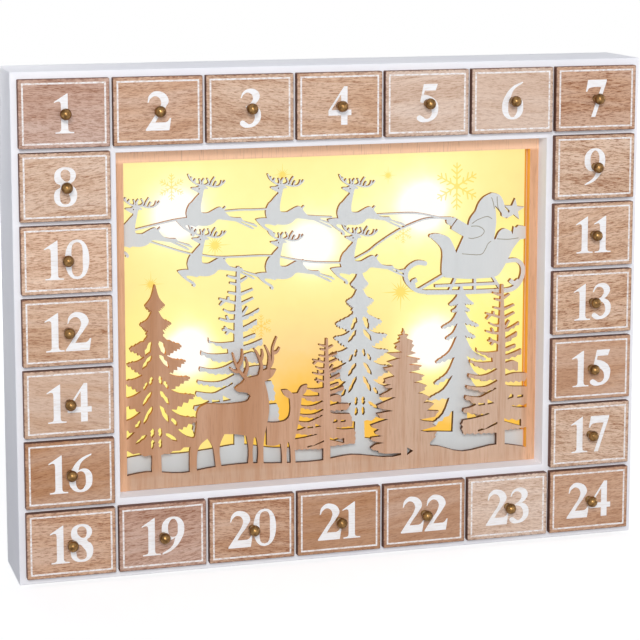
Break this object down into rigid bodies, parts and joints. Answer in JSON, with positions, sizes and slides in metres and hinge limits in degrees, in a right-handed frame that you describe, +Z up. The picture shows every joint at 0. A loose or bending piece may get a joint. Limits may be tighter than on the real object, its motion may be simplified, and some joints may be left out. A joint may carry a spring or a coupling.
{
  "type": "wooden advent calendar",
  "caption": "White wooden box with a ring of numbered pull-out drawers with ball knobs around a back-lit laser-cut winter forest scene.",
  "frame": {"origin": "centre of the case's bottom face", "axes": "+X to the right as seen from the front, +Y from the front to the back of the case, +Z up"},
  "size_m": [0.4, 0.0672, 0.31],
  "materials": {
    "white_board": "satin white paint",
    "drawer_wood": "stained, open grain",
    "knob_brass": "antique, burnished",
    "panel_wood": "bare veneer, burnt cut edges",
    "panel_grey": "pale grey paint, burnt cut edges",
    "spacer_wood": "bare plywood",
    "backdrop_sheet": "translucent, printed",
    "lamp_lens": "warm white diffused",
    "wire_insulation": "soft insulation",
    "box_plastic": "moulded, fine texture",
    "switch_plastic": "moulded",
    "back_board": "white faced hardboard"
  },
  "bodies": {
    "case": {"outer_case": "white_board", "inner_boards": "white_board", "scene_front_panel": "panel_wood", "scene_middle_panel": "panel_grey", "scene_spacers": "spacer_wood", "scene_backdrop": "backdrop_sheet", "led_lamps": "lamp_lens", "led_wires": "wire_insulation", "battery_box": "box_plastic", "back_panel": "back_board"},
    "drawer_01_body": {"drawer_01": "drawer_wood", "knob_01": "knob_brass"},
    "drawer_02_body": {"drawer_02": "drawer_wood", "knob_02": "knob_brass"},
    "drawer_03_body": {"drawer_03": "drawer_wood", "knob_03": "knob_brass"},
    "drawer_04_body": {"drawer_04": "drawer_wood", "knob_04": "knob_brass"},
    "drawer_05_body": {"drawer_05": "drawer_wood", "knob_05": "knob_brass"},
    "drawer_06_body": {"drawer_06": "drawer_wood", "knob_06": "knob_brass"},
    "drawer_07_body": {"drawer_07": "drawer_wood", "knob_07": "knob_brass"},
    "drawer_08_body": {"drawer_08": "drawer_wood", "knob_08": "knob_brass"},
    "drawer_09_body": {"drawer_09": "drawer_wood", "knob_09": "knob_brass"},
    "drawer_10_body": {"drawer_10": "drawer_wood", "knob_10": "knob_brass"},
    "drawer_11_body": {"drawer_11": "drawer_wood", "knob_11": "knob_brass"},
    "drawer_12_body": {"drawer_12": "drawer_wood", "knob_12": "knob_brass"},
    "drawer_13_body": {"drawer_13": "drawer_wood", "knob_13": "knob_brass"},
    "drawer_14_body": {"drawer_14": "drawer_wood", "knob_14": "knob_brass"},
    "drawer_15_body": {"drawer_15": "drawer_wood", "knob_15": "knob_brass"},
    "drawer_16_body": {"drawer_16": "drawer_wood", "knob_16": "knob_brass"},
    "drawer_17_body": {"drawer_17": "drawer_wood", "knob_17": "knob_brass"},
    "drawer_18_body": {"drawer_18": "drawer_wood", "knob_18": "knob_brass"},
    "drawer_19_body": {"drawer_19": "drawer_wood", "knob_19": "knob_brass"},
    "drawer_20_body": {"drawer_20": "drawer_wood", "knob_20": "knob_brass"},
    "drawer_21_body": {"drawer_21": "drawer_wood", "knob_21": "knob_brass"},
    "drawer_22_body": {"drawer_22": "drawer_wood", "knob_22": "knob_brass"},
    "drawer_23_body": {"drawer_23": "drawer_wood", "knob_23": "knob_brass"},
    "drawer_24_body": {"drawer_24": "drawer_wood", "knob_24": "knob_brass"},
    "battery_cover_body": {"battery_cover": "box_plastic"},
    "switch_body": {"switch_slider": "switch_plastic"}
  },
  "joints": [
    {"name": "drawer_01_slide", "type": "slide", "parent": "case", "child": "drawer_01_body", "axis": [0, -1, 0], "range_m": [0, 0.04]},
    {"name": "drawer_02_slide", "type": "slide", "parent": "case", "child": "drawer_02_body", "axis": [0, -1, 0], "range_m": [0, 0.04]},
    {"name": "drawer_03_slide", "type": "slide", "parent": "case", "child": "drawer_03_body", "axis": [0, -1, 0], "range_m": [0, 0.04]},
    {"name": "drawer_04_slide", "type": "slide", "parent": "case", "child": "drawer_04_body", "axis": [0, -1, 0], "range_m": [0, 0.04]},
    {"name": "drawer_05_slide", "type": "slide", "parent": "case", "child": "drawer_05_body", "axis": [0, -1, 0], "range_m": [0, 0.04]},
    {"name": "drawer_06_slide", "type": "slide", "parent": "case", "child": "drawer_06_body", "axis": [0, -1, 0], "range_m": [0, 0.04]},
    {"name": "drawer_07_slide", "type": "slide", "parent": "case", "child": "drawer_07_body", "axis": [0, -1, 0], "range_m": [0, 0.04]},
    {"name": "drawer_08_slide", "type": "slide", "parent": "case", "child": "drawer_08_body", "axis": [0, -1, 0], "range_m": [0, 0.04]},
    {"name": "drawer_09_slide", "type": "slide", "parent": "case", "child": "drawer_09_body", "axis": [0, -1, 0], "range_m": [0, 0.04]},
    {"name": "drawer_10_slide", "type": "slide", "parent": "case", "child": "drawer_10_body", "axis": [0, -1, 0], "range_m": [0, 0.04]},
    {"name": "drawer_11_slide", "type": "slide", "parent": "case", "child": "drawer_11_body", "axis": [0, -1, 0], "range_m": [0, 0.04]},
    {"name": "drawer_12_slide", "type": "slide", "parent": "case", "child": "drawer_12_body", "axis": [0, -1, 0], "range_m": [0, 0.04]},
    {"name": "drawer_13_slide", "type": "slide", "parent": "case", "child": "drawer_13_body", "axis": [0, -1, 0], "range_m": [0, 0.04]},
    {"name": "drawer_14_slide", "type": "slide", "parent": "case", "child": "drawer_14_body", "axis": [0, -1, 0], "range_m": [0, 0.04]},
    {"name": "drawer_15_slide", "type": "slide", "parent": "case", "child": "drawer_15_body", "axis": [0, -1, 0], "range_m": [0, 0.04]},
    {"name": "drawer_16_slide", "type": "slide", "parent": "case", "child": "drawer_16_body", "axis": [0, -1, 0], "range_m": [0, 0.04]},
    {"name": "drawer_17_slide", "type": "slide", "parent": "case", "child": "drawer_17_body", "axis": [0, -1, 0], "range_m": [0, 0.04]},
    {"name": "drawer_18_slide", "type": "slide", "parent": "case", "child": "drawer_18_body", "axis": [0, -1, 0], "range_m": [0, 0.04]},
    {"name": "drawer_19_slide", "type": "slide", "parent": "case", "child": "drawer_19_body", "axis": [0, -1, 0], "range_m": [0, 0.04]},
    {"name": "drawer_20_slide", "type": "slide", "parent": "case", "child": "drawer_20_body", "axis": [0, -1, 0], "range_m": [0, 0.04]},
    {"name": "drawer_21_slide", "type": "slide", "parent": "case", "child": "drawer_21_body", "axis": [0, -1, 0], "range_m": [0, 0.04]},
    {"name": "drawer_22_slide", "type": "slide", "parent": "case", "child": "drawer_22_body", "axis": [0, -1, 0], "range_m": [0, 0.04]},
    {"name": "drawer_23_slide", "type": "slide", "parent": "case", "child": "drawer_23_body", "axis": [0, -1, 0], "range_m": [0, 0.04]},
    {"name": "drawer_24_slide", "type": "slide", "parent": "case", "child": "drawer_24_body", "axis": [0, -1, 0], "range_m": [0, 0.04]},
    {"name": "battery_cover_lift", "type": "slide", "parent": "case", "child": "battery_cover_body", "axis": [0, 1, 0], "range_m": [0, 0.02]},
    {"name": "switch_slide", "type": "slide", "parent": "case", "child": "switch_body", "axis": [1, 0, 0], "range_m": [0, 0.004]}
  ]
}
